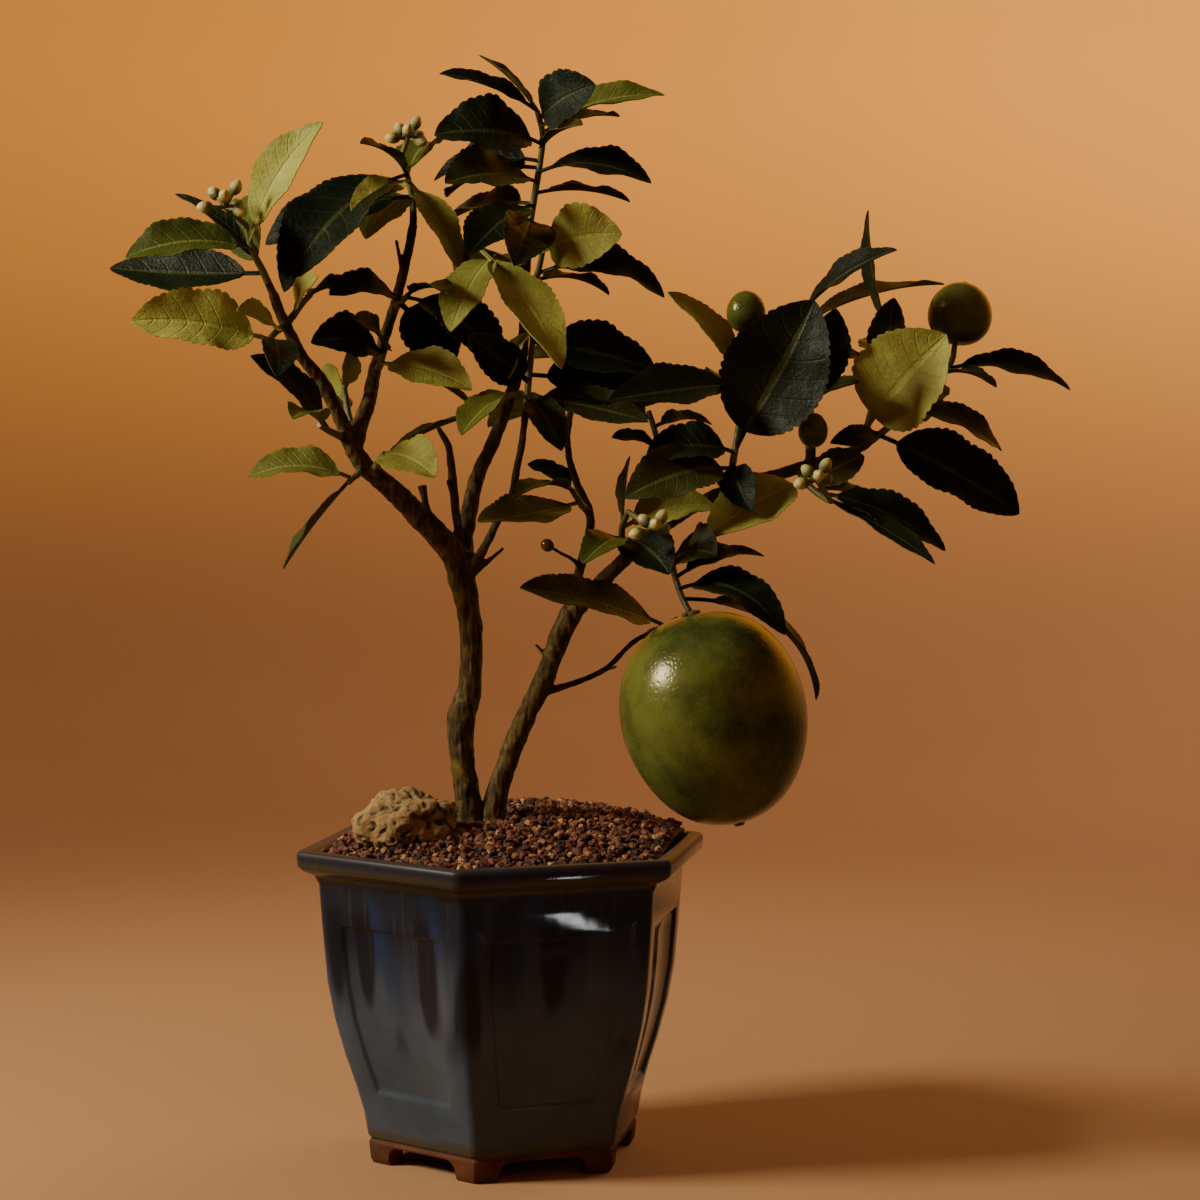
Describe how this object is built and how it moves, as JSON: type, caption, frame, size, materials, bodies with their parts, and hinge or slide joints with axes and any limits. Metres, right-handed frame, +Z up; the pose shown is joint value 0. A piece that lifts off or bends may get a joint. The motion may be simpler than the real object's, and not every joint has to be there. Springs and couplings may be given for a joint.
{
  "type": "citrus bonsai in a pot",
  "caption": "Small citrus tree grown as a bonsai, with folded toothed leaves, hanging green fruit and flower buds, in a six-sided glazed footed pot topped with gravel.",
  "frame": {"origin": "bottom centre of the whole plant's bounding box, on the surface the pot stands on", "axes": "+Z up, -Y towards the side the picture was taken from, +X to that side's right"},
  "size_m": [0.3628, 0.1598, 0.4193],
  "materials": {
    "glaze": "glossy blue-grey glaze with darker runs, bare brown clay on the feet",
    "screen_plastic": "matt black",
    "potting_soil": "rough dark crumb",
    "gravel": "rough red-brown, tan and cream grains",
    "rock": "rough pitted pale olive and grey",
    "bark": "dull olive-brown bark",
    "leaf": "waxy green, glossier above",
    "bud": "soft pale yellow-green",
    "fruit_skin": "glossy pitted green rind"
  },
  "bodies": {
    "root": {"pot": "glaze", "drain_screen": "screen_plastic", "soil": "potting_soil", "gravel": "gravel", "stone": "rock", "trunk_and_limbs": "bark", "shoot_left_tip": "leaf", "shoot_left_front": "leaf", "shoot_left_inner": "leaf", "shoot_left_fork": "leaf", "shoot_fork_upright": "leaf", "shoot_limb_under": "leaf", "shoot_limb_front": "leaf", "shoot_back_low": "leaf", "shoot_back_middle": "leaf", "shoot_back_top": "leaf", "shoot_crown": "leaf", "shoot_centre_left": "leaf", "shoot_centre_right": "leaf", "shoot_front_limb": "leaf", "shoot_up_side": "leaf", "shoot_up_tip": "leaf", "shoot_right_near": "leaf", "shoot_right_back": "leaf", "shoot_fruit": "leaf", "shoot_side_twig": "leaf", "shoot_right_middle": "leaf", "shoot_right_upper": "leaf", "shoot_right_end": "leaf", "shoot_far_right": "leaf", "shoot_right_under": "leaf", "buds_left": "bud", "buds_back": "bud", "buds_centre": "bud", "buds_right": "bud", "large_fruit": "fruit_skin", "small_fruit_right": "fruit_skin", "small_fruit_centre": "fruit_skin", "small_fruit_low": "fruit_skin", "fruitlet": "fruit_skin"}
  },
  "joints": []
}
